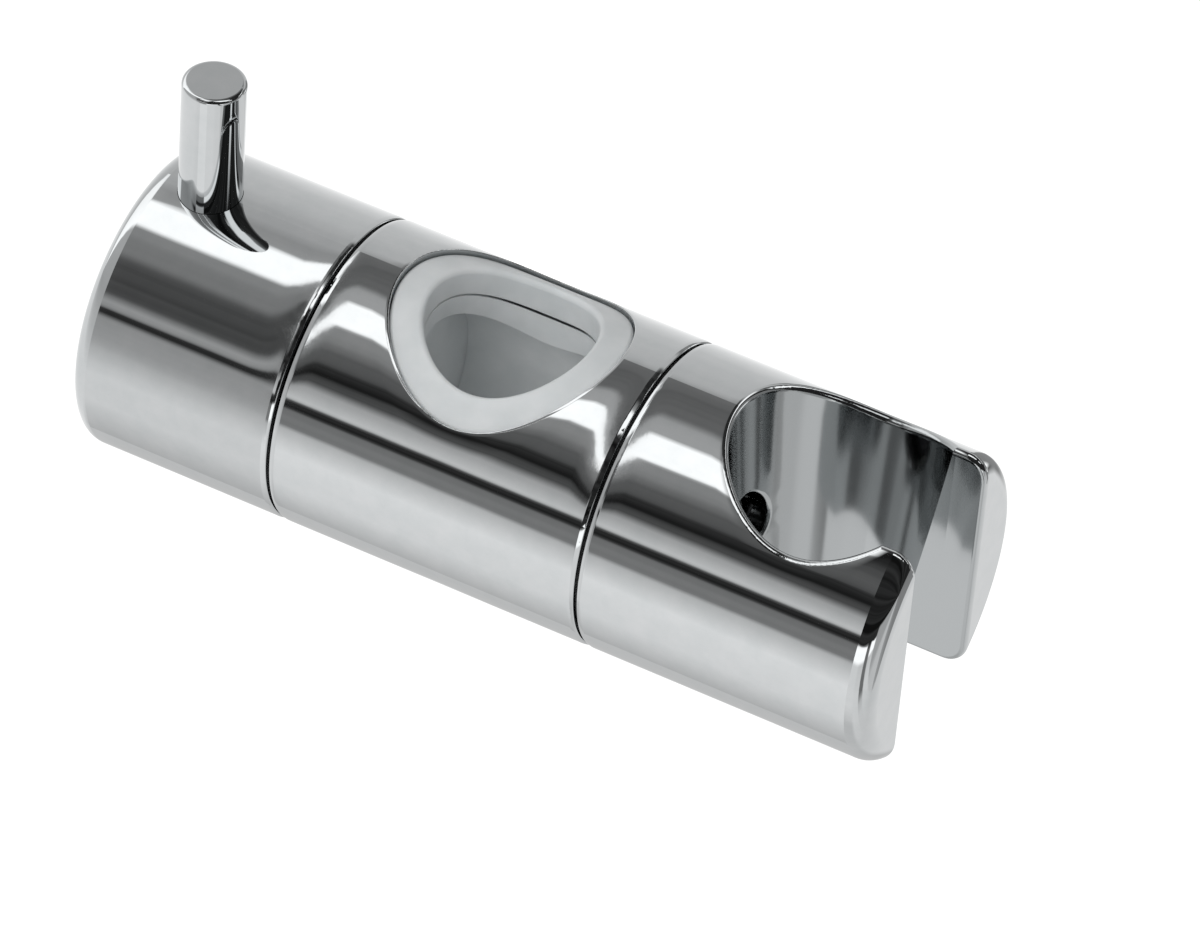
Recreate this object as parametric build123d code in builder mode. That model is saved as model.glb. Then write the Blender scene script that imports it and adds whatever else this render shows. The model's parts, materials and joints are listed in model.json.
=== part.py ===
from build123d import *
from math import radians, tan
import os

os.makedirs("parts", exist_ok=True)

# Shower rail slider: a chromed cylinder across a vertical rail, with a clamping knob and lever on
# one side and a tilting handset cup on the other.
# Millimetres. The origin is where the rail's axis crosses the cylinder's axis. X runs along the
# cylinder from the knob to the cup, and Z runs up the rail.

# Outside form
cylinder_radius = 19.0
body_left = 20.8  # from the rail's axis to the body's edge on the knob side
body_right = 19.4  # and on the cup side
knob_gap = 0.4
knob_length = 26.6
knob_end_fillet = 2.3
holder_gap = 0.4
holder_end_fillet = 2.8
rim_radius = 1.6  # of the soft roll where the chrome runs up to a seam
rim_length = 0.7
rim_edge_fillet = 0.15
shell_wall = 2.0
knob_end_wall = 2.2

# Fits
slip_fit = 0.05  # between pieces that are pushed together and stay
thread_play = 0.05
running_gap = 0.1  # between flat faces that turn or slide on each other
sleeve_play = 0.3  # round the clamp sleeve

# Rail and its bushes
rail_radius = 10.0
rail_clearance = 0.15
window_radius = 14.2  # in the body shell
window_edge_fillet = 0.12
bush_recess = 0.6  # of the bush's face below the chrome
bush_face_fillet = 0.55
bush_bore_fillet = 0.6
saddle_wall = 2.15
saddle_half_length = 15.4
saddle_foot = 3.0  # height of the saddle's feet above the cylinder's axis

# Clamp sleeve and the draw bolt moulded into it, M8
sleeve_wall = 2.55
sleeve_right = 13.3
bolt_radius = 4.0
bolt_pitch = 1.25
bolt_clearance = 0.3
knob_turn = 120.0  # degrees from free to clamped
hex_across_flats = 13.0
bolt_head_height = 2.6
bolt_head_cover = 1.2  # of plastic on each side of the bolt's head
bulkhead_thickness = 3.25
guide_pin_radius = 1.5
guide_pin_inset = 4.0  # of the pins' axes from the sleeve's outside
guide_pin_hold = 2.75  # length in the bulkhead
guide_pin_length = 6.3
guide_pin_end_space = 0.3
spring_thickness = 0.5
spring_pin_space = 1.0  # between the spring and the guide pins
spring_spare = 0.28  # height that the cone keeps when the sleeve is drawn up

# Knob
core_rim = 1.9
core_hub_radius = 10.5
core_web = 4.0
core_end_space = 1.6  # between the core and the knob's end wall
rib_count = 6
rib_thickness = 2.0
rib_setback = 2.0
nut_length = 12.0
nut_cover = 2.6
stop_chamber_radius = 7.9
stop_washer_radius = 6.5
stop_washer_thickness = 1.0
stop_washer_space = 0.9
stop_screw_radius = 2.0
stop_screw_head_radius = 3.6
stop_screw_head_height = 2.4
stop_screw_length = 8.0
seam_ring_recess = 1.1  # of the seam rings' edge below the chrome
thrust_ring_bore = 6.0

# Lever
lever_from_face = 18.95
lever_radius = 3.84
lever_height = 16.9  # above the chrome
lever_end_fillet = 0.55
lever_seat_depth = 0.75  # of the lever's shoulder below the core's outside
lever_shank_radius = 2.5
lever_shank_length = 5.2
lever_insert_radius = 3.5
lever_insert_length = 5.0
lever_insert_drop = 0.6
lever_post_radius = 5.2

# Swivel between body and cup
hub_thickness = 3.6
hub_boss_radius = 5.5
hub_boss_length = 1.8
spigot_radius = 3.2
spigot_play = 0.06
holder_web = 5.8  # wall between the cup holder's face and the screw recess
recess_radius = 4.8
recess_edge_fillet = 0.6
swivel_screw_radius = 2.0
swivel_screw_length = 9.0
swivel_head_radius = 3.8
swivel_head_height = 2.4
swivel_head_fillet = 0.8
socket_across_flats = 2.5
socket_depth = 1.4
swivel_washer_thickness = 1.0
swivel_spring_thickness = 0.4
swivel_spring_height = 0.7
washer_play = 0.3
friction_ring_width = 2.6
stop_pin_radius = 1.5
stop_pin_inset = 4.65  # of the pin's axis from the hub's outside
stop_pin_hold = 3.0
stop_pin_reach = 2.0  # past the hub's face
stop_groove_depth = 2.0
stop_groove_play = 0.3
swivel_each_way = 75.0  # degrees

# Handset cup
cup_from_face = 23.3
cup_mouth_radius = 13.35  # at the top of the cylinder
cup_half_angle = 5.3  # degrees
slot_ledge = 0.925  # of the cup's narrow end, on each side of the slot
lip_length = 4.15  # from the cup's mouth to the end face, along the slot
lip_fillet_share = 0.124  # of the wall beside the cup

# Places along the cylinder
knob_face = -body_left - knob_gap
knob_end = knob_face - knob_length
lever_x = knob_face - lever_from_face
holder_face = body_right + holder_gap
cup_x = holder_face + cup_from_face
cup_taper = tan(radians(cup_half_angle))
slot_half_width = cup_mouth_radius - 2 * cylinder_radius * cup_taper - slot_ledge
lip_fillet = lip_fillet_share * (cylinder_radius - cup_mouth_radius)
slot_mouth = (cup_mouth_radius**2 - slot_half_width**2) ** 0.5
holder_end = cup_x + slot_mouth + lip_length
holder_length = holder_end - holder_face
shell_bore_radius = cylinder_radius - shell_wall
core_radius = shell_bore_radius - slip_fit
bush_bore_radius = rail_radius + rail_clearance
bush_radius = cylinder_radius - bush_recess
saddle_radius = shell_bore_radius - slip_fit
saddle_bore_radius = saddle_radius - saddle_wall
sleeve_radius = saddle_bore_radius - sleeve_play
bulkhead_right = -body_left + bulkhead_thickness
sleeve_draw = bolt_pitch * knob_turn / 360
spring_height = spring_thickness + sleeve_draw + spring_spare
sleeve_left = bulkhead_right + spring_height
sleeve_end_wall = bolt_head_height + 2 * bolt_head_cover
guide_pin_end = bulkhead_right - guide_pin_hold + guide_pin_length
guide_pin_circle = sleeve_radius - guide_pin_inset
spring_radius = guide_pin_circle - guide_pin_radius - spring_pin_space
hex_radius = hex_across_flats / 3**0.5
lever_seat = core_radius - lever_seat_depth
core_left = knob_end + knob_end_wall + core_end_space
nut_left = knob_face - nut_cover - nut_length
bolt_end = nut_left - stop_washer_space
hub_left = body_right - hub_thickness
stop_pin_circle = core_radius - stop_pin_inset
web_right = holder_face + holder_web
spigot_end = web_right + swivel_spring_height
washer_right = spigot_end + swivel_washer_thickness
seam_ring_radius = cylinder_radius - seam_ring_recess
rim_end_radius = cylinder_radius - rim_radius + (rim_radius**2 - rim_length**2) ** 0.5

# Body: a chromed tube with a round window above and below for the rail.
with BuildPart() as body_shell:
    with BuildSketch(Plane.XZ):
        with BuildLine():
            left_rim = RadiusArc(
                (-body_left, rim_end_radius), (rim_length - body_left, cylinder_radius), rim_radius
            )
            right_rim = RadiusArc(
                (body_right - rim_length, cylinder_radius), (body_right, rim_end_radius), rim_radius
            )
            Line(left_rim @ 1, right_rim @ 0)
            Polyline(right_rim @ 1, (body_right, 0), (-body_left, 0), left_rim @ 0)
        make_face()
    revolve(axis=Axis.X)
    fillet(body_shell.faces().filter_by(Plane.YZ).edges(), rim_edge_fillet)
    with BuildSketch():
        Circle(window_radius)
    extrude(amount=cylinder_radius, both=True, mode=Mode.SUBTRACT)
    window_edges = body_shell.edges(Select.LAST).filter_by(GeomType.LINE, reverse=True)
    fillet(window_edges, window_edge_fillet)
    with BuildSketch(Plane.YZ.offset(-body_left)):
        Circle(shell_bore_radius)
    extrude(amount=body_left + body_right, mode=Mode.SUBTRACT)
body_shell.part.label = "body_shell"
export_step(body_shell.part, "parts/body_shell.step")

# Rail bush: a saddle that lies against the shell's bore, with a ring that fills the window. The
# ring's face follows the cylinder, a little below the chrome.
with BuildPart() as rail_bush_upper:
    with BuildSketch():
        Circle(window_radius - slip_fit)
    extrude(amount=cylinder_radius)
    Cylinder(bush_radius, 2 * cylinder_radius, rotation=(0, 90, 0), mode=Mode.INTERSECT)
    ring_edge = rail_bush_upper.edges().group_by(Axis.Z)[-1]
    fillet(ring_edge, bush_face_fillet)
    with BuildSketch(Plane.YZ.offset(-saddle_half_length)):
        Circle(saddle_radius)
        with Locations((0, saddle_foot)):
            Rectangle(2 * saddle_radius, saddle_radius, align=(Align.CENTER, Align.MIN), mode=Mode.INTERSECT)
    extrude(amount=2 * saddle_half_length)
    Cylinder(saddle_bore_radius, 4 * cylinder_radius, rotation=(0, 90, 0), mode=Mode.SUBTRACT)
    with BuildSketch():
        Circle(bush_bore_radius)
    extrude(amount=cylinder_radius, mode=Mode.SUBTRACT)
    bore_edge = rail_bush_upper.edges(Select.LAST).sort_by(Axis.Z)[-1]
    fillet(bore_edge, bush_bore_fillet)
rail_bush_upper.part.label = "rail_bush_upper"
export_step(rail_bush_upper.part, "parts/rail_bush_upper.step")

# The lower bush is the same moulding turned over.
with BuildPart() as rail_bush_lower:
    mirror(rail_bush_upper.part, about=Plane.XY)
rail_bush_lower.part.label = "rail_bush_lower"
export_step(rail_bush_lower.part, "parts/rail_bush_lower.step")

# Bulkhead at the knob end of the body, with a hole for the draw bolt and two for the guide pins.
with BuildPart() as clamp_bulkhead:
    with BuildSketch(Plane.YZ.offset(-body_left)):
        Circle(core_radius)
        Circle(bolt_radius + bolt_clearance, mode=Mode.SUBTRACT)
    extrude(amount=bulkhead_thickness)
    with BuildSketch(Plane.YZ.offset(bulkhead_right)):
        with PolarLocations(guide_pin_circle, 2):
            Circle(guide_pin_radius)
    extrude(amount=-guide_pin_hold, mode=Mode.SUBTRACT)
clamp_bulkhead.part.label = "clamp_bulkhead"
export_step(clamp_bulkhead.part, "parts/clamp_bulkhead.step")

# Two steel pins in the bulkhead keep the sleeve from turning.
with BuildPart() as guide_pins:
    with BuildSketch(Plane.YZ.offset(bulkhead_right - guide_pin_hold)):
        with PolarLocations(guide_pin_circle, 2):
            Circle(guide_pin_radius)
    extrude(amount=guide_pin_length)
guide_pins.part.label = "guide_pins"
export_step(guide_pins.part, "parts/guide_pins.step")

# Clamp sleeve: a cup with a cross hole in line with the bushes. Drawn towards the knob, it grips
# the rail against them.
with BuildPart() as clamp_sleeve:
    with BuildSketch(Plane.YZ.offset(sleeve_left)):
        Circle(sleeve_radius)
    extrude(amount=sleeve_right - sleeve_left)
    with BuildSketch(Plane.YZ.offset(sleeve_left + sleeve_end_wall)):
        Circle(sleeve_radius - sleeve_wall)
    extrude(amount=sleeve_right - sleeve_left, mode=Mode.SUBTRACT)
    with BuildSketch():
        Circle(bush_bore_radius)
    extrude(amount=cylinder_radius, both=True, mode=Mode.SUBTRACT)
    with BuildSketch(Plane.YZ.offset(sleeve_left)):
        Circle(bolt_radius + slip_fit)
    extrude(amount=bolt_head_cover, mode=Mode.SUBTRACT)
    with BuildSketch(Plane.YZ.offset(sleeve_left + bolt_head_cover)):
        RegularPolygon(hex_radius + slip_fit, 6)
    extrude(amount=bolt_head_height, mode=Mode.SUBTRACT)
    with BuildSketch(Plane.YZ.offset(sleeve_left)):
        with PolarLocations(guide_pin_circle, 2):
            Circle(guide_pin_radius + thread_play)
    pin_hole_depth = guide_pin_end - sleeve_left + sleeve_draw + guide_pin_end_space
    extrude(amount=pin_hole_depth, mode=Mode.SUBTRACT)
clamp_sleeve.part.label = "clamp_sleeve"
export_step(clamp_sleeve.part, "parts/clamp_sleeve.step")

# Draw bolt, its hexagon head moulded into the sleeve's end wall and a tapped hole in its other end.
with BuildPart() as draw_bolt:
    head_left = sleeve_left + bolt_head_cover
    with BuildSketch(Plane.YZ.offset(head_left)):
        RegularPolygon(hex_radius, 6)
    extrude(amount=bolt_head_height)
    with BuildSketch(Plane.YZ.offset(bolt_end)):
        Circle(bolt_radius)
    extrude(amount=head_left - bolt_end)
    with BuildSketch(Plane.YZ.offset(bolt_end)):
        Circle(stop_screw_radius + thread_play)
    extrude(amount=stop_screw_length, mode=Mode.SUBTRACT)
draw_bolt.part.label = "draw_bolt"
export_step(draw_bolt.part, "parts/draw_bolt.step")

# Coned spring washer that pushes the sleeve back when the knob is let off.
with BuildPart() as return_spring:
    with BuildSketch(Plane.XZ):
        with BuildLine():
            cone_rise = spring_height - spring_thickness
            Polyline(
                (bulkhead_right + cone_rise, bolt_radius + bolt_clearance),
                (bulkhead_right + spring_height, bolt_radius + bolt_clearance),
                (bulkhead_right + spring_thickness, spring_radius),
                (bulkhead_right, spring_radius),
                close=True,
            )
        make_face()
    revolve(axis=Axis.X)
return_spring.part.label = "return_spring"
export_step(return_spring.part, "parts/return_spring.step")

# Knob: a chromed cup with a rounded end and a hole for the lever.
with BuildPart() as knob_shell:
    with BuildSketch(Plane.XZ):
        with BuildLine():
            right_rim = RadiusArc(
                (knob_face - rim_length, cylinder_radius), (knob_face, rim_end_radius), rim_radius
            )
            Polyline(
                right_rim @ 1, (knob_face, 0), (knob_end, 0), (knob_end, cylinder_radius), right_rim @ 0
            )
        make_face()
    revolve(axis=Axis.X)
    fillet(knob_shell.faces().sort_by(Axis.X)[0].edges(), knob_end_fillet)
    fillet(knob_shell.faces().sort_by(Axis.X)[-1].edges(), rim_edge_fillet)
    with BuildSketch(Plane.YZ.offset(knob_end + knob_end_wall)):
        Circle(shell_bore_radius)
    extrude(amount=knob_length, mode=Mode.SUBTRACT)
    with BuildSketch():
        with Locations((lever_x, 0)):
            Circle(lever_radius + slip_fit)
    extrude(amount=2 * cylinder_radius, mode=Mode.SUBTRACT)
knob_shell.part.label = "knob_shell"
export_step(knob_shell.part, "parts/knob_shell.step")

# Knob core: a ribbed moulding that carries the nut on the axis and the lever's insert above it.
with BuildPart() as knob_core:
    core_length = knob_face - core_left
    with BuildSketch(Plane.YZ.offset(core_left)):
        Circle(core_radius)
    extrude(amount=core_length)
    with BuildSketch(Plane.YZ.offset(core_left)):
        Circle(core_radius - core_rim)
        Circle(core_hub_radius, mode=Mode.SUBTRACT)
    extrude(amount=core_length - core_web, mode=Mode.SUBTRACT)
    rib_middle = (core_radius - core_rim / 2 + core_hub_radius) / 2
    rib_length = core_radius - core_hub_radius
    with BuildSketch(Plane.YZ.offset(core_left + rib_setback)):
        with PolarLocations(rib_middle, rib_count, start_angle=90):
            Rectangle(rib_length, rib_thickness)
    extrude(amount=core_length - core_web - rib_setback)
    with BuildSketch(Plane.XY.offset(core_hub_radius - rib_thickness)):
        with Locations((lever_x, 0)):
            Circle(lever_post_radius)
    extrude(amount=lever_seat - core_hub_radius + rib_thickness)
    with BuildSketch(Plane.YZ.offset(core_left)):
        Circle(stop_chamber_radius)
    extrude(amount=nut_left - core_left, mode=Mode.SUBTRACT)
    with BuildSketch(Plane.YZ.offset(nut_left)):
        RegularPolygon(hex_radius + slip_fit, 6)
    extrude(amount=nut_length, mode=Mode.SUBTRACT)
    with BuildSketch(Plane.YZ.offset(nut_left + nut_length)):
        Circle(bolt_radius + bolt_clearance)
    extrude(amount=nut_cover, mode=Mode.SUBTRACT)
    with BuildSketch(Plane.XY.offset(lever_seat)):
        with Locations((lever_x, 0)):
            Circle(lever_radius + slip_fit)
    extrude(amount=cylinder_radius, mode=Mode.SUBTRACT)
    with BuildSketch(Plane.XY.offset(lever_seat)):
        with Locations((lever_x, 0)):
            Circle(lever_insert_radius)
    extrude(amount=-lever_insert_drop - lever_insert_length, mode=Mode.SUBTRACT)
knob_core.part.label = "knob_core"
export_step(knob_core.part, "parts/knob_core.step")

# Long hexagon nut, captive in the core, that turns on the draw bolt.
with BuildPart() as clamp_nut:
    with BuildSketch(Plane.YZ.offset(nut_left)):
        RegularPolygon(hex_radius, 6)
        Circle(bolt_radius + thread_play, mode=Mode.SUBTRACT)
    extrude(amount=nut_length)
clamp_nut.part.label = "clamp_nut"
export_step(clamp_nut.part, "parts/clamp_nut.step")

# Washer and screw on the end of the draw bolt, which stop the nut from running off it.
with BuildPart() as stop_washer:
    with BuildSketch(Plane.YZ.offset(bolt_end)):
        Circle(stop_washer_radius)
        Circle(stop_screw_radius + thread_play, mode=Mode.SUBTRACT)
    extrude(amount=-stop_washer_thickness)
stop_washer.part.label = "stop_washer"
export_step(stop_washer.part, "parts/stop_washer.step")

with BuildPart() as stop_screw:
    screw_seat = bolt_end - stop_washer_thickness
    with BuildSketch(Plane.YZ.offset(screw_seat)):
        Circle(stop_screw_head_radius)
    extrude(amount=-stop_screw_head_height)
    with BuildSketch(Plane.YZ.offset(screw_seat)):
        Circle(stop_screw_radius)
    extrude(amount=stop_screw_length)
    with BuildSketch(Plane.YZ.offset(screw_seat - stop_screw_head_height)):
        RegularPolygon(socket_across_flats / 3**0.5, 6)
    extrude(amount=stop_screw_head_height / 2, mode=Mode.SUBTRACT)
stop_screw.part.label = "stop_screw"
export_step(stop_screw.part, "parts/stop_screw.step")

# Brass insert in the core for the lever's thread.
with BuildPart() as lever_insert:
    with BuildSketch(Plane.XY.offset(lever_seat - lever_insert_drop)):
        with Locations((lever_x, 0)):
            Circle(lever_insert_radius)
            Circle(lever_shank_radius + thread_play, mode=Mode.SUBTRACT)
    extrude(amount=-lever_insert_length)
lever_insert.part.label = "lever_insert"
export_step(lever_insert.part, "parts/lever_insert.step")

# Lever: a turned pin whose shoulder passes through the shell and seats on the core.
with BuildPart() as lever_pin:
    with BuildSketch(Plane.XY.offset(lever_seat)):
        with Locations((lever_x, 0)):
            Circle(lever_radius)
    extrude(amount=cylinder_radius + lever_height - lever_seat)
    fillet(lever_pin.faces().sort_by(Axis.Z)[-1].edges(), lever_end_fillet)
    with BuildSketch(Plane.XY.offset(lever_seat)):
        with Locations((lever_x, 0)):
            Circle(lever_shank_radius)
    extrude(amount=-lever_shank_length)
lever_pin.part.label = "lever_pin"
export_step(lever_pin.part, "parts/lever_pin.step")

# Dark plastic ring that the knob turns on, seen as the line between knob and body.
with BuildPart() as thrust_ring:
    with BuildSketch(Plane.YZ.offset(-body_left)):
        Circle(seam_ring_radius)
        Circle(thrust_ring_bore, mode=Mode.SUBTRACT)
    extrude(amount=-knob_gap + running_gap)
thrust_ring.part.label = "thrust_ring"
export_step(thrust_ring.part, "parts/thrust_ring.step")

# Hub in the other end of the body, with a spigot that the cup holder turns on.
with BuildPart() as swivel_hub:
    with BuildSketch(Plane.YZ.offset(hub_left)):
        Circle(core_radius)
    extrude(amount=hub_thickness)
    with BuildSketch(Plane.YZ.offset(hub_left)):
        Circle(hub_boss_radius)
    extrude(amount=-hub_boss_length)
    with BuildSketch(Plane.YZ.offset(body_right)):
        Circle(spigot_radius)
    extrude(amount=spigot_end - body_right)
    with BuildSketch(Plane.YZ.offset(spigot_end)):
        Circle(swivel_screw_radius + thread_play)
    extrude(amount=-swivel_screw_length, mode=Mode.SUBTRACT)
    with BuildSketch(Plane.YZ.offset(body_right)):
        with Locations((0, stop_pin_circle)):
            Circle(stop_pin_radius)
    extrude(amount=-stop_pin_hold, mode=Mode.SUBTRACT)
swivel_hub.part.label = "swivel_hub"
export_step(swivel_hub.part, "parts/swivel_hub.step")

# Steel pin in the hub that ends the cup's swing each way.
with BuildPart() as swing_stop_pin:
    with BuildSketch(Plane.YZ.offset(body_right - stop_pin_hold)):
        with Locations((0, stop_pin_circle)):
            Circle(stop_pin_radius)
    extrude(amount=stop_pin_hold + stop_pin_reach)
swing_stop_pin.part.label = "swing_stop_pin"
export_step(swing_stop_pin.part, "parts/swing_stop_pin.step")

# Friction ring between the hub and the cup holder.
with BuildPart() as friction_ring:
    with BuildSketch(Plane.YZ.offset(body_right)):
        Circle(seam_ring_radius)
        Circle(seam_ring_radius - friction_ring_width, mode=Mode.SUBTRACT)
    extrude(amount=holder_gap - running_gap)
friction_ring.part.label = "friction_ring"
export_step(friction_ring.part, "parts/friction_ring.step")

# Swivel screw with its washer and coned spring, at the bottom of the recess in the cup's wall.
with BuildPart() as swivel_spring:
    with BuildSketch(Plane.XZ):
        with BuildLine():
            Polyline(
                (spigot_end - swivel_spring_thickness, spigot_radius + spigot_play),
                (spigot_end, spigot_radius + spigot_play),
                (web_right + swivel_spring_thickness, recess_radius - washer_play),
                (web_right, recess_radius - washer_play),
                close=True,
            )
        make_face()
    revolve(axis=Axis.X)
swivel_spring.part.label = "swivel_spring"
export_step(swivel_spring.part, "parts/swivel_spring.step")

with BuildPart() as swivel_washer:
    with BuildSketch(Plane.YZ.offset(spigot_end)):
        Circle(recess_radius - washer_play)
        Circle(swivel_screw_radius + thread_play, mode=Mode.SUBTRACT)
    extrude(amount=swivel_washer_thickness)
swivel_washer.part.label = "swivel_washer"
export_step(swivel_washer.part, "parts/swivel_washer.step")

with BuildPart() as swivel_screw:
    with BuildSketch(Plane.YZ.offset(washer_right)):
        Circle(swivel_head_radius)
    extrude(amount=swivel_head_height)
    fillet(swivel_screw.faces().sort_by(Axis.X)[-1].edges(), swivel_head_fillet)
    with BuildSketch(Plane.YZ.offset(washer_right)):
        Circle(swivel_screw_radius)
    extrude(amount=-swivel_screw_length)
    with BuildSketch(Plane.YZ.offset(washer_right + swivel_head_height)):
        RegularPolygon(socket_across_flats / 3**0.5, 6)
    extrude(amount=-socket_depth, mode=Mode.SUBTRACT)
swivel_screw.part.label = "swivel_screw"
export_step(swivel_screw.part, "parts/swivel_screw.step")

# Cup holder: a solid moulding with a conical cup for the handset's nut, a slot for its hose, a
# recess for the swivel screw and a curved groove for the stop pin.
stop_arc = CenterArc((0, 0), stop_pin_circle, 90 - swivel_each_way, 2 * swivel_each_way)
with BuildPart() as holder_shell:
    with BuildSketch(Plane.XZ):
        with BuildLine():
            left_rim = RadiusArc(
                (holder_face, rim_end_radius), (holder_face + rim_length, cylinder_radius), rim_radius
            )
            Polyline(
                left_rim @ 1, (holder_end, cylinder_radius), (holder_end, 0), (holder_face, 0), left_rim @ 0
            )
        make_face()
    revolve(axis=Axis.X)
    fillet(holder_shell.faces().sort_by(Axis.X)[-1].edges(), holder_end_fillet)
    with BuildSketch():
        with Locations((cup_x, 0)):
            Rectangle(holder_length, 2 * slot_half_width, align=(Align.MIN, Align.CENTER))
    extrude(amount=2 * cylinder_radius, both=True, mode=Mode.SUBTRACT)
    with Locations((cup_x, 0, 0)):
        Cone(
            cup_mouth_radius - 3 * cylinder_radius * cup_taper,
            cup_mouth_radius + cylinder_radius * cup_taper,
            4 * cylinder_radius,
            mode=Mode.SUBTRACT,
        )
    cup_wall = holder_shell.faces().filter_by(GeomType.CONE)
    slot_walls = holder_shell.faces().filter_by(Plane.XZ)
    corners = cup_wall.edges().filter_by(GeomType.HYPERBOLA)
    fillet((cup_wall.edges() + slot_walls.edges()) - corners, lip_fillet)
    fillet(holder_shell.faces().sort_by(Axis.X)[0].edges(), rim_edge_fillet)
    with BuildSketch(Plane.YZ.offset(web_right)):
        Circle(recess_radius)
    extrude(amount=cup_x - web_right, mode=Mode.SUBTRACT)
    recess_edge = holder_shell.edges(Select.LAST).sort_by(Axis.X)[-1]
    fillet(recess_edge, recess_edge_fillet)
    with BuildSketch(Plane.YZ.offset(holder_face)):
        Circle(spigot_radius + spigot_play)
    extrude(amount=holder_web, mode=Mode.SUBTRACT)
    with BuildSketch(Plane.YZ.offset(holder_face)):
        SlotArc(stop_arc, 2 * (stop_pin_radius + stop_groove_play))
    extrude(amount=stop_groove_depth, mode=Mode.SUBTRACT)
holder_shell.part.label = "holder_shell"
export_step(holder_shell.part, "parts/holder_shell.step")
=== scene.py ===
import json
import math

import bpy
from mathutils import Matrix, Vector

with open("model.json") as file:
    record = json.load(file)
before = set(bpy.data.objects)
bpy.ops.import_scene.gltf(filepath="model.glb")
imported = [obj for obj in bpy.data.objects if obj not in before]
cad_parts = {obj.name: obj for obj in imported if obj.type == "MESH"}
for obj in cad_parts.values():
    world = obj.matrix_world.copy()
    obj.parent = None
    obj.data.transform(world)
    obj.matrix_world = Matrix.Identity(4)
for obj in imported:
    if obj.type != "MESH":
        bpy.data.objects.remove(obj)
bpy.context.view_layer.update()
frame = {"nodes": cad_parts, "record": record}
nodes = frame["nodes"]
MM = 0.001

# Camera: the photograph's place and angle, about 0.96 m from the slider. Lens and sensor are in
# millimetres.
CAMERA_PLACE = Vector((306.3, -634.2, 656.5)) * MM
CAMERA_TARGET = Vector((11.58, 2.58, -2.91)) * MM
CAMERA_UP = Vector((-0.3609, 0.5809, 0.7295))
CAMERA_LENS = 247.5
SENSOR_WIDTH = 36.0

# Light tent round the cylinder's axis, seen only in the chrome. It is made of panels along the axis.
# In each, a stop is an angle in degrees from straight overhead towards the viewer, and the grey that
# the chrome shows there, as an sRGB value. Chrome gives back CHROME_GREY of the light that it gets.
TENT_RADIUS = 300 * MM
TENT_LEFT = -700 * MM
TENT_RIGHT = 700 * MM
TENT_SIDES = 256
CHROME_GREY = 0.59

# Body and holder
BODY_TENT = (
    (-180, 176), (-152, 162), (-125, 212), (-85, 180), (-60, 172), (-47, 166), (-42, 100),
    (-34, 82), (-16, 90), (-11, 148), (-1, 152), (1, 255), (18, 255), (20, 127), (30, 118),
    (38, 78), (46, 70), (49, 12), (55, 12), (57, 58), (61, 64), (66, 150), (77, 186), (79, 12),
    (84, 12), (86, 106), (97, 112), (100, 172), (118, 213), (149, 204), (179, 164),
)
# Knob
KNOB_TENT = (
    (-180, 176), (-152, 162), (-125, 210), (-85, 180), (-60, 172), (-47, 158), (-34, 150),
    (-27, 134), (-17, 140), (-14, 255), (5, 255), (8, 128), (22, 112), (28, 108), (32, 80),
    (36, 60), (50, 56), (57, 64), (63, 142), (67, 130), (69, 36), (72, 40), (75, 132), (92, 148),
    (98, 166), (110, 190), (118, 200), (143, 198), (179, 162),
)
# Left end and the lever's left side
FAR_LEFT_TENT = (
    (-180, 203), (-120, 203), (-60, 170), (-47, 166), (-43, 240), (4, 255), (9, 160), (60, 150),
    (100, 182), (120, 203), (179, 203),
)
# Near lip's rounded end, and the lever in the knob's chrome
LIP_TENT = (
    (-180, 176), (-152, 162), (-125, 212), (-85, 180), (-60, 172), (-47, 166), (-42, 60),
    (-34, 30), (8, 30), (10, 24), (25, 24), (30, 66), (38, 78), (46, 70), (49, 12), (55, 12),
    (57, 58), (61, 64), (66, 150), (77, 186), (79, 12), (84, 12), (86, 106), (97, 112), (100, 172),
    (118, 213), (149, 204), (179, 164),
)
# Rounded edges, and steep walls of the cup
INNER_TENT = (
    (-180, 176), (-152, 162), (-128, 190), (-120, 118), (-70, 112), (-62, 168), (-47, 166),
    (-42, 30), (-34, 16), (-16, 30), (-8, 150), (-6, 255), (8, 255), (10, 16), (84, 16),
    (86, 255), (96, 255), (99, 200), (132, 203), (152, 176), (179, 176),
)
# Lever's right side, the far lip and walls of the cup
RIGHT_TENT = (
    (-180, 186), (-120, 196), (-110, 60), (-106, 250), (-96, 250), (-92, 118), (-66, 110),
    (-58, 16), (-51, 16), (-49, 255), (-44, 255), (-42, 14), (-9, 16), (-7, 255), (5, 255), (7, 16),
    (84, 16), (86, 255), (96, 255), (99, 188), (125, 200), (150, 196), (179, 186),
)
# Left wall of the cup, and the lever's foot
CUP_TENT = (
    (-180, 186), (-120, 196), (-110, 118), (-66, 110), (-58, 16), (-51, 16), (-49, 255), (-44, 255),
    (-42, 14), (84, 16), (90, 96), (128, 104), (138, 176), (150, 190), (179, 186),
)
# Walls of the cup that look furthest along the tent
FAR_RIGHT_TENT = (
    (-180, 150), (-150, 120), (-60, 112), (-58, 16), (74, 16), (78, 150), (118, 150), (140, 180),
    (179, 182),
)

# Where each panel takes over from the one before it, along the cylinder, and how wide the change is
TENT_PANELS = (
    (-185 * MM, 60 * MM, KNOB_TENT),
    (-124.6 * MM, 1.0 * MM, BODY_TENT),
    (-38 * MM, 10 * MM, LIP_TENT),
    (-12 * MM, 8 * MM, INNER_TENT),
    (105 * MM, 40 * MM, RIGHT_TENT),
    (205 * MM, 16 * MM, CUP_TENT),
    (290 * MM, 24 * MM, RIGHT_TENT),
    (435 * MM, 40 * MM, FAR_RIGHT_TENT),
)

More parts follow.
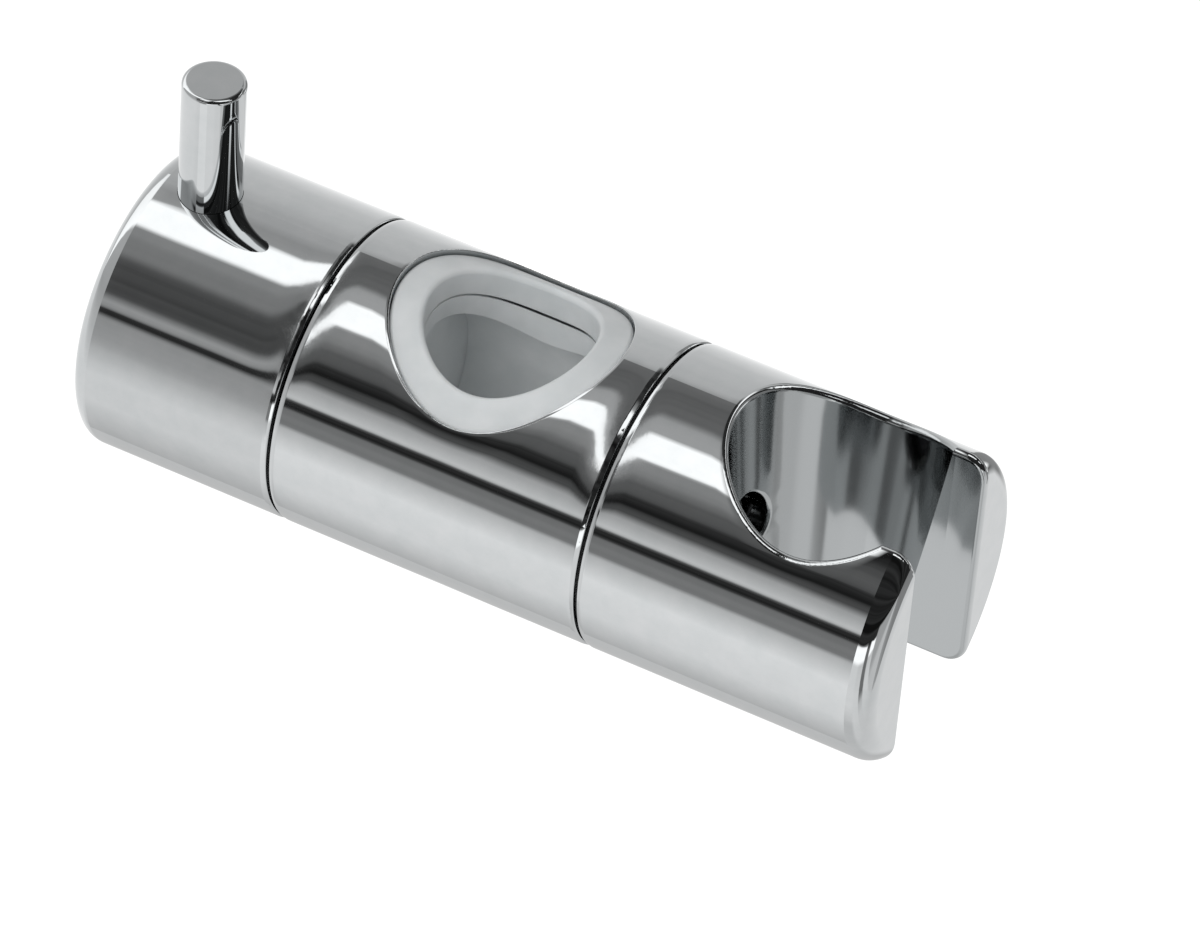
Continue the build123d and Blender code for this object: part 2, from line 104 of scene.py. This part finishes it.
# Beside the seams, where the shells draw in, the bands bend: millimetres along the tent, and degrees
BAND_BENDS = (
    (-129.5, 0), (-127.8, 6), (-126.6, 14), (-125.4, 25), (-123.9, -46), (-122.9, -24), (-121.8, -9),
    (-120.4, 0), (-75.0, 0), (-73.8, -7), (-72.4, -24), (-70.9, -50), (-69.9, -28), (-68.8, -14),
    (-67.4, -6),
)
BEND_FROM, BEND_TO = -130.0, -60.0
# The bends are kept in a ramp as greys, and this many degrees make up its whole range
BEND_SPAN = 100.0
# They are strongest at the angle BEND_TOP, and go to nothing at the other two
BEND_START, BEND_TOP, BEND_END = -40.0, 15.0, 75.0
# Faint streaks: how fine they are round the tent, how broken up, and how much light they add
STREAK_SCALE = 48.0
STREAK_DETAIL = 2.5
STREAK_LIGHT = 0.035

# Openings in the shells
WINDOW_RADIUS = 14.2 * MM
CUP_MIDDLE = 43.1 * MM
CUP_RADIUS = 13.35 * MM
SLOT_HALF_WIDTH = 8.9 * MM
# Round them the chrome falls off a little: middle along the cylinder, radius, depth and width
BODY_OPENINGS = (
    (0.0, WINDOW_RADIUS, -0.06 * MM, 2.0 * MM),
    (0.0, WINDOW_RADIUS, -0.05 * MM, 0.5 * MM),
)
HOLDER_OPENINGS = ((CUP_MIDDLE, CUP_RADIUS, -0.05 * MM, 1.8 * MM),)
# The plate in the cup and its slot is duller, and painted darker as shade in the hollow. Beyond the
# slot's faces this fades from HOLLOW_START to HOLLOW_EDGE, and at the cup's rim over a width of
# HOLLOW_EDGE. HOLLOW_HAZE is how much rougher it is.
HOLLOW_START = 0.1 * MM
HOLLOW_EDGE = 0.3 * MM
HOLLOW_HAZE = 0.085

# Most of a noise texture lies between these values
NOISE_LOW, NOISE_HIGH = 0.3, 0.7

# Studio: a pale floor far below the slider, and one large soft lamp on the viewer's side. AMBIENT is
# the light of the world, where 1 is white.
FLOOR_HEIGHT = -400 * MM
FLOOR_SIZE = 8.0
FLOOR_GLOW = 0.62
AMBIENT = 0.44
LAMP_PLACE = Vector((-0.25, -1.3, 1.1))
LAMP_SIZE = 1.2
LAMP_POWER = 11.5


def linear_channel(value):
    """One sRGB channel, 0 to 1, as linear light."""
    if value <= 0.04045:
        return value / 12.92
    return ((value + 0.055) / 1.055) ** 2.4


def colour(hex_colour):
    """An sRGB hex colour as the linear RGBA that a shader takes."""
    channels = [int(hex_colour[i:i + 2], 16) / 255 for i in (1, 3, 5)]
    return (*[linear_channel(c) for c in channels], 1.0)


def add_node(tree, kind, settings=None, links=None):
    """Adds a node; settings are sockets or properties by name or number, links are sources."""
    node = tree.nodes.new(kind)
    for key, value in (settings or {}).items():
        if isinstance(key, int) or key in node.inputs:
            node.inputs[key].default_value = value
        else:
            setattr(node, key, value)
    for key, source in (links or {}).items():
        tree.links.new(source, node.inputs[key])
    return node


def new_material(name):
    material = bpy.data.materials.new(name)
    material.use_nodes = True
    material.node_tree.nodes.clear()
    return material, material.node_tree


def finish_material(tree, settings, links):
    """Adds the surface that a material's nodes lead to."""
    shader = add_node(tree, "ShaderNodeBsdfPrincipled", settings, links)
    add_node(tree, "ShaderNodeOutputMaterial", links={"Surface": shader.outputs[0]})


def arithmetic(tree, operation, first, second=None):
    """A Math node; each value is a number or another node's output."""
    settings = {}
    links = {}
    for socket, value in enumerate((first, second)):
        if isinstance(value, (int, float)):
            settings[socket] = value
        elif value is not None:
            links[socket] = value
    return add_node(tree, "ShaderNodeMath", {"operation": operation, **settings}, links).outputs[0]


def mapped(tree, source, low, high, to_low=0.0, to_high=1.0):
    """Takes low to high over to to_low to to_high, and holds a value beyond them at the nearer one."""
    settings = {1: low, 2: high, 3: to_low, 4: to_high}
    return add_node(tree, "ShaderNodeMapRange", settings, {0: source}).outputs[0]


def mixed(tree, share, first, second, **settings):
    """Two colours mixed by a share, where each is a colour or another node's output."""
    settings["data_type"] = "RGBA"
    links = {}
    for socket, value in ((0, share), (6, first), (7, second)):
        if isinstance(value, (int, float, tuple)):
            settings[socket] = value
        else:
            links[socket] = value
    return add_node(tree, "ShaderNodeMix", settings, links).outputs[2]


def ramp(tree, source, stops):
    """A grey for a value from 0 to 1; a stop is such a value and its grey, in linear light."""
    node = add_node(tree, "ShaderNodeValToRGB", links={0: source})
    points = node.color_ramp.elements
    while len(points) < len(stops):
        points.new(0.5)
    for point, (position, grey) in zip(points, stops):
        point.position = position
        point.color = (grey, grey, grey, 1.0)
    return node.outputs[0]


def object_axes(tree):
    """The object coordinates X, Y and Z, in metres."""
    place = add_node(tree, "ShaderNodeTexCoord").outputs["Object"]
    return tuple(add_node(tree, "ShaderNodeSeparateXYZ", links={0: place}).outputs)


def object_place(tree, stretch=(1, 1, 1)):
    """Object coordinates, in metres, stretched for a pattern that runs along one axis."""
    place = add_node(tree, "ShaderNodeTexCoord").outputs["Object"]
    return add_node(tree, "ShaderNodeMapping", {"Scale": stretch}, {"Vector": place}).outputs[0]


def noise(tree, place, size, detail=2.0, roughness=0.5):
    """Noise with features about as wide as size, in metres."""
    settings = {"Scale": 1 / size, "Detail": detail, "Roughness": roughness}
    return add_node(tree, "ShaderNodeTexNoise", settings, {"Vector": place}).outputs["Fac"]


def spread(tree, source, low, high):
    """A noise spread over low to high."""
    return mapped(tree, source, NOISE_LOW, NOISE_HIGH, low, high)


def shade(tree, source, dark, light):
    """A colour between two hex colours, as a noise rises."""
    return mixed(tree, spread(tree, source, 0, 1), colour(dark), colour(light))


def relief(tree, source, depth, below=None):
    """Bumps a surface by a height; depth is what a height of 1 stands for, in metres."""
    links = {"Height": source}
    if below is not None:
        links["Normal"] = below
    return add_node(tree, "ShaderNodeBump", {"Strength": 1.0, "Distance": depth}, links).outputs[0]


def distance_from(tree, middle):
    """Distance in metres from the upright line that crosses the cylinder's axis at middle."""
    x, y, _ = object_axes(tree)
    along = arithmetic(tree, "SUBTRACT", x, middle)
    square = arithmetic(
        tree, "ADD", arithmetic(tree, "MULTIPLY", along, along), arithmetic(tree, "MULTIPLY", y, y))
    return arithmetic(tree, "SQRT", square)


def opening_relief(tree, openings):
    """The chrome's fall round the openings that are cut through a shell."""
    height = 0.0
    for middle, radius, depth, width in openings:
        near = mapped(tree, distance_from(tree, middle), radius, radius + width, 1.0, 0.0)
        curve = arithmetic(tree, "MULTIPLY", near, near)
        height = arithmetic(tree, "ADD", height, arithmetic(tree, "MULTIPLY", curve, depth / MM))
    return relief(tree, height, MM)


def hollow_share(tree):
    """1 on the walls of the cup and its slot, 0 on the outside of the holder's shell."""
    x, y, _ = object_axes(tree)
    away = distance_from(tree, CUP_MIDDLE)
    cup = mapped(tree, away, CUP_RADIUS - HOLLOW_EDGE / 2, CUP_RADIUS + HOLLOW_EDGE / 2, 1.0, 0.0)
    across = arithmetic(tree, "ABSOLUTE", y)
    slot = mapped(
        tree, across, SLOT_HALF_WIDTH + HOLLOW_START, SLOT_HALF_WIDTH + HOLLOW_EDGE, 1.0, 0.0)
    ahead = mapped(tree, x, CUP_MIDDLE, CUP_MIDDLE + HOLLOW_EDGE)
    return arithmetic(tree, "MAXIMUM", cup, arithmetic(tree, "MULTIPLY", slot, ahead))


# Bright chrome over nickel on moulded ABS. The plate is a mirror, a little grey, and follows the
# moulding's faint waves, so that long reflections are not quite straight. Buffing lowers it a little
# round the openings, and leaves a haze. In the cup and its slot the plate is duller, and its colour
# is painted greyer there as painted shade in the hollow.
def bright_chrome_plate(name, openings=(), hollow=False):
    material, tree = new_material(name)
    place = object_place(tree)
    rims = opening_relief(tree, openings) if openings else None
    waves = noise(tree, place, size=9 * MM, detail=1.0)
    pits = noise(tree, place, size=0.4 * MM, detail=1.0)
    haze = noise(tree, place, size=2.5 * MM, detail=4.0, roughness=0.6)
    surface = relief(tree, waves, depth=0.012 * MM, below=rims)
    surface = relief(tree, pits, depth=0.0001 * MM, below=surface)
    plate = shade(tree, haze, "#C5C8C9", "#CBCDCE")
    dullness = spread(tree, haze, 0.015, 0.035)
    if hollow:
        share = hollow_share(tree)
        # Painted shade: in the cup and its slot the plate's colour is darkened towards #AEB1B2
        plate = mixed(tree, share, plate, colour("#AEB1B2"))
        dullness = arithmetic(tree, "ADD", dullness, arithmetic(tree, "MULTIPLY", share, HOLLOW_HAZE))
    finish_material(
        tree, {"Metallic": 1.0}, {"Base Color": plate, "Roughness": dullness, "Normal": surface})
    return material


# Natural acetal, moulded. It is milky: light goes a little way in, which softens its edges, and its
# surface is smooth with a satin sheen and a faint grain.
def milky_acetal():
    material, tree = new_material("milky_acetal")
    place = object_place(tree)
    cloud = noise(tree, place, size=4 * MM, detail=3.0)
    grain = noise(tree, place, size=0.25 * MM, detail=2.0)
    finish_material(
        tree,
        {"Metallic": 0.0, "IOR": 1.48, "Subsurface Weight": 0.35,
         "Subsurface Radius": (1.0, 1.05, 1.1), "Subsurface Scale": 0.9 * MM},
        {"Base Color": shade(tree, cloud, "#DEE2E3", "#E8EBEC"),
         "Roughness": spread(tree, grain, 0.34, 0.46),
         "Normal": relief(tree, grain, depth=0.006 * MM)})
    return material


# Black glass-filled nylon, moulded in a lightly sparked tool: nearly black, with a fine even grain
def black_moulded_nylon():
    material, tree = new_material("black_moulded_nylon")
    place = object_place(tree)
    grain = noise(tree, place, size=0.3 * MM, detail=3.0)
    finish_material(
        tree, {"Metallic": 0.0, "IOR": 1.53},
        {"Base Color": shade(tree, grain, "#0E0E0F", "#19191B"),
         "Roughness": spread(tree, grain, 0.42, 0.6),
         "Normal": relief(tree, grain, depth=0.015 * MM)})
    return material


# A metal that was turned on a lathe. Its tool marks run round the X axis, so the noise is fine along X
# and long round it.
def turned_metal(name, dark, light, low, high):
    material, tree = new_material(name)
    marks = noise(tree, object_place(tree, stretch=(1, 0.04, 0.04)), size=0.12 * MM, detail=2.0)
    stain = noise(tree, object_place(tree), size=3 * MM, detail=3.0)
    finish_material(
        tree, {"Metallic": 1.0},
        {"Base Color": shade(tree, stain, dark, light),
         "Roughness": spread(tree, marks, low, high),
         "Normal": relief(tree, marks, depth=0.003 * MM)})
    return material


SLOT_MATERIALS = {
    # The knob's shell; the other two shells have openings and are below
    "chrome_shell": bright_chrome_plate("bright_chrome_knob"),
    "chrome_lever": bright_chrome_plate("bright_chrome_lever"),
    "bush_plastic": milky_acetal(),
    "core_plastic": black_moulded_nylon(),
    # Stainless steel 304, turned or rolled: a warm grey with a soft gleam
    "steel": turned_metal("turned_stainless_steel", "#A3A29F", "#B3B2AE", 0.22, 0.36),
    # Steel blackened in hot salts: near black with a deep gleam
    "dark_screw": turned_metal("blackened_steel", "#1F1F21", "#2E2E30", 0.26, 0.4),
    # Free-cutting brass, as it comes off the lathe: yellow, going a little brown where it was touched
    "brass": turned_metal("turned_brass", "#B98E4C", "#CFA962", 0.2, 0.34),
}
SLOT_MATERIALS["dark_ring"] = SLOT_MATERIALS["core_plastic"]
SHELL_MATERIALS = {
    "body_shell": bright_chrome_plate("bright_chrome_body", BODY_OPENINGS),
    "holder_shell": bright_chrome_plate("bright_chrome_holder", HOLDER_OPENINGS, hollow=True),
}
for part in frame["record"]["subparts"]:
    mesh = nodes[part["node"]].data
    mesh.materials.clear()
    mesh.materials.append(SHELL_MATERIALS.get(part["node"]) or SLOT_MATERIALS[part["material_slot"]])


def band_ramp(tree, turn, stops):
    """Greys round the tent, as the light that makes the chrome show them."""
    lights = [
        ((degrees + 180) / 360, linear_channel(grey / 255) / CHROME_GREY) for degrees, grey in stops]
    return ramp(tree, turn, lights)


def band_bend(tree, along, degrees):
    """Degrees by which the bands bend beside the seams."""
    stops = [
        ((place - BEND_FROM) / (BEND_TO - BEND_FROM), 0.5 + bend / BEND_SPAN)
        for place, bend in BAND_BENDS]
    share = ramp(tree, mapped(tree, along, BEND_FROM * MM, BEND_TO * MM), stops)
    bend = arithmetic(tree, "MULTIPLY", arithmetic(tree, "SUBTRACT", share, 0.5), BEND_SPAN)
    rise = mapped(tree, degrees, BEND_START, BEND_TOP)
    fall = mapped(tree, degrees, BEND_TOP, BEND_END, 1.0, 0.0)
    return arithmetic(tree, "MULTIPLY", bend, arithmetic(tree, "MULTIPLY", rise, fall))


def tent_material():
    material, tree = new_material("light_tent")
    x, y, z = object_axes(tree)
    angle = arithmetic(tree, "ARCTAN2", arithmetic(tree, "MULTIPLY", y, -1.0), z)
    degrees = arithmetic(tree, "MULTIPLY", angle, math.degrees(1))
    bent = arithmetic(tree, "ADD", degrees, band_bend(tree, x, degrees))
    turn = mapped(tree, bent, -180.0, 180.0)
    light = band_ramp(tree, turn, FAR_LEFT_TENT)
    for start, blur, stops in TENT_PANELS:
        past = mapped(tree, x, start - blur / 2, start + blur / 2)
        light = mixed(tree, past, light, band_ramp(tree, turn, stops))
    # Streaks that run along the cylinder, as in any real room; they show in the dark bands
    streaks = add_node(
        tree, "ShaderNodeTexNoise",
        {"noise_dimensions": "1D", "Scale": STREAK_SCALE, "Detail": STREAK_DETAIL}, {"W": turn})
    streak_light = spread(tree, streaks.outputs["Fac"], 0.0, STREAK_LIGHT)
    light = mixed(tree, 1.0, light, streak_light, blend_type="SCREEN")
    glow = add_node(tree, "ShaderNodeEmission", links={"Color": light})
    add_node(tree, "ShaderNodeOutputMaterial", links={"Surface": glow.outputs[0]})
    return material


bpy.ops.object.select_all(action="DESELECT")
bpy.ops.mesh.primitive_cylinder_add(
    vertices=TENT_SIDES, radius=TENT_RADIUS, depth=TENT_RIGHT - TENT_LEFT,
    location=((TENT_LEFT + TENT_RIGHT) / 2, 0, 0), rotation=(0, math.radians(90), 0))
tent = bpy.context.object
tent.name = "light_tent"
bpy.ops.object.transform_apply(location=True, rotation=True, scale=True)
tent.data.materials.append(tent_material())
tent.visible_camera = False
tent.visible_diffuse = False
tent.visible_transmission = False
tent.visible_shadow = False


def seen_by_camera(tree):
    """1 for what the camera sees, straight, mirrored or through a piece, and 0 for other light."""
    path = add_node(tree, "ShaderNodeLightPath").outputs
    seen = arithmetic(tree, "MAXIMUM", path["Is Camera Ray"], path["Is Glossy Ray"])
    return arithmetic(tree, "MAXIMUM", seen, path["Is Transmission Ray"])


# The floor is matt white card. It looks white to the camera and keeps the slider's shadow, and from
# below it isn't there, so that the slider's underside can be looked at.
def floor_material():
    material, tree = new_material("white_card_floor")
    card = add_node(tree, "ShaderNodeBsdfDiffuse", {"Color": colour("#EDEDED")}).outputs[0]
    glow = add_node(tree, "ShaderNodeEmission", {"Strength": FLOOR_GLOW}).outputs[0]
    glowing = add_node(tree, "ShaderNodeAddShader", links={0: card, 1: glow}).outputs[0]
    lit = add_node(
        tree, "ShaderNodeMixShader", links={0: seen_by_camera(tree), 1: card, 2: glowing}).outputs[0]
    clear = add_node(tree, "ShaderNodeBsdfTransparent").outputs[0]
    backfacing = add_node(tree, "ShaderNodeNewGeometry").outputs["Backfacing"]
    top = add_node(tree, "ShaderNodeMixShader", links={0: backfacing, 1: lit, 2: clear}).outputs[0]
    add_node(tree, "ShaderNodeOutputMaterial", links={"Surface": top})
    return material


bpy.ops.mesh.primitive_plane_add(size=FLOOR_SIZE, location=(0, 0, FLOOR_HEIGHT))
floor = bpy.context.object
floor.name = "floor"
floor.data.materials.append(floor_material())

lamp_data = bpy.data.lights.new("soft_lamp", "AREA")
lamp_data.shape = "DISK"
lamp_data.size = LAMP_SIZE
lamp_data.energy = LAMP_POWER
lamp = bpy.data.objects.new("soft_lamp", lamp_data)
bpy.context.scene.collection.objects.link(lamp)
lamp_turn = LAMP_PLACE.to_track_quat("Z", "Y").to_matrix().to_4x4()
lamp.matrix_world = Matrix.Translation(LAMP_PLACE) @ lamp_turn
lamp.visible_glossy = False

# The world is white where the camera sees it, and gives less light than that
world = bpy.data.worlds.new("studio")
bpy.context.scene.world = world
world.use_nodes = True
sky_tree = world.node_tree
sky_tree.nodes.clear()
strength = mapped(sky_tree, seen_by_camera(sky_tree), 0.0, 1.0, AMBIENT, 1.0)
sky = add_node(sky_tree, "ShaderNodeBackground", {"Color": (1, 1, 1, 1)}, {"Strength": strength})
add_node(sky_tree, "ShaderNodeOutputWorld", links={"Surface": sky.outputs[0]})

camera_data = bpy.data.cameras.new("camera")
camera_data.lens = CAMERA_LENS
camera_data.sensor_width = SENSOR_WIDTH
camera = bpy.data.objects.new("camera", camera_data)
bpy.context.scene.collection.objects.link(camera)
back = (CAMERA_PLACE - CAMERA_TARGET).normalized()
right = CAMERA_UP.cross(back).normalized()
up = back.cross(right)
camera_turn = Matrix((right, up, back)).transposed().to_4x4()
camera.matrix_world = Matrix.Translation(CAMERA_PLACE) @ camera_turn
bpy.context.scene.camera = camera
bpy.context.scene.view_settings.view_transform = "Standard"
